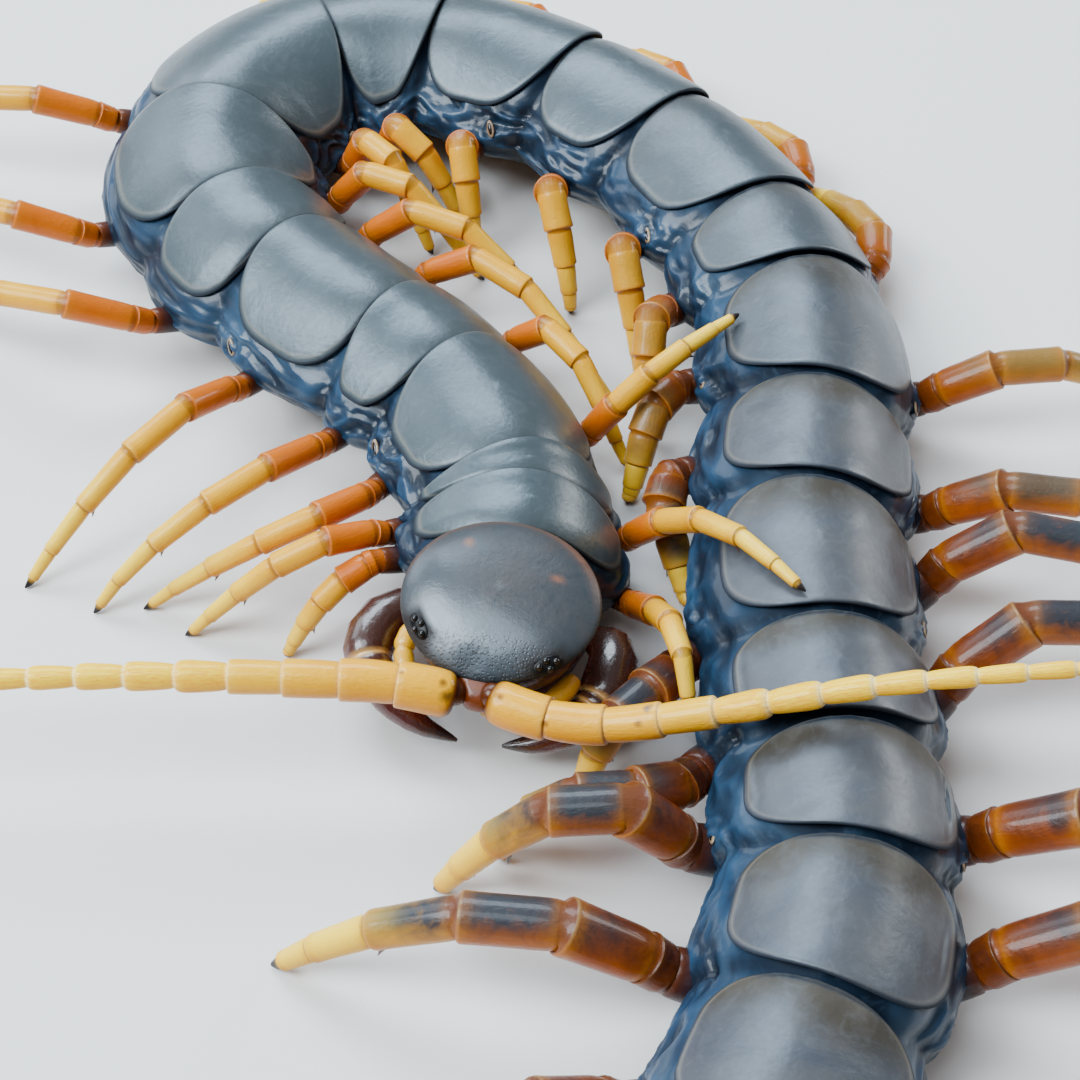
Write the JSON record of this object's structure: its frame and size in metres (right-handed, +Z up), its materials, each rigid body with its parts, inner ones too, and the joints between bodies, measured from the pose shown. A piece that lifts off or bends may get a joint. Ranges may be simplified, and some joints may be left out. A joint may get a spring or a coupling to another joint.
{
  "type": "giant centipede",
  "caption": "Life-size still model of a giant centipede, curled into a hook with its head beside its trunk, standing on its feet with long antennae spread.",
  "frame": {"origin": "centre of the bounding box, on the floor under the feet", "axes": "+Z up, +Y along the longest side, the head facing towards -Y and the tail end lying at -Y as well, +X to the right of a viewer in front of the head"},
  "size_m": [0.1166, 0.1594, 0.0208],
  "materials": {
    "head_shell": "satin charcoal cuticle",
    "eye": "glossy black simple eyes",
    "antenna": "pale orange yellow, smooth at the base and matt beyond",
    "jaw": "polished red brown cuticle",
    "trunk_shell": "slate grey back plates over blue grey membrane",
    "leg_front": "orange yellow cuticle",
    "leg_rear": "orange brown cuticle with dark grey upper sides"
  },
  "bodies": {
    "root": {"head": "head_shell", "eyes_left": "eye", "eyes_right": "eye", "antenna_left": "antenna", "antenna_right": "antenna", "claw_plate": "jaw", "poison_claw_left": "jaw", "poison_claw_right": "jaw", "palp_left": "antenna", "palp_right": "antenna", "trunk_1": "trunk_shell", "trunk_2": "trunk_shell", "trunk_3": "trunk_shell", "trunk_4": "trunk_shell", "trunk_5": "trunk_shell", "trunk_6": "trunk_shell", "trunk_7": "trunk_shell", "leg_left_01": "leg_front", "leg_right_01": "leg_front", "leg_left_02": "leg_front", "leg_right_02": "leg_front", "leg_left_03": "leg_front", "leg_right_03": "leg_front", "leg_left_04": "leg_front", "leg_right_04": "leg_front", "leg_left_05": "leg_front", "leg_right_05": "leg_front", "leg_left_06": "leg_front", "leg_right_06": "leg_front", "leg_left_07": "leg_front", "leg_right_07": "leg_front", "leg_left_08": "leg_front", "leg_right_08": "leg_front", "leg_left_09": "leg_front", "leg_right_09": "leg_front", "leg_left_10": "leg_front", "leg_right_10": "leg_front", "leg_left_11": "leg_front", "leg_right_11": "leg_front", "leg_left_12": "leg_front", "leg_right_12": "leg_front", "leg_left_13": "leg_rear", "leg_right_13": "leg_rear", "leg_left_14": "leg_rear", "leg_right_14": "leg_rear", "leg_left_15": "leg_rear", "leg_right_15": "leg_rear", "leg_left_16": "leg_rear", "leg_right_16": "leg_rear", "leg_left_17": "leg_rear", "leg_right_17": "leg_rear", "leg_left_18": "leg_rear", "leg_right_18": "leg_rear", "leg_left_19": "leg_rear", "leg_right_19": "leg_rear", "leg_left_20": "leg_rear", "leg_right_20": "leg_rear", "leg_left_21": "leg_rear", "leg_right_21": "leg_rear"}
  },
  "joints": []
}
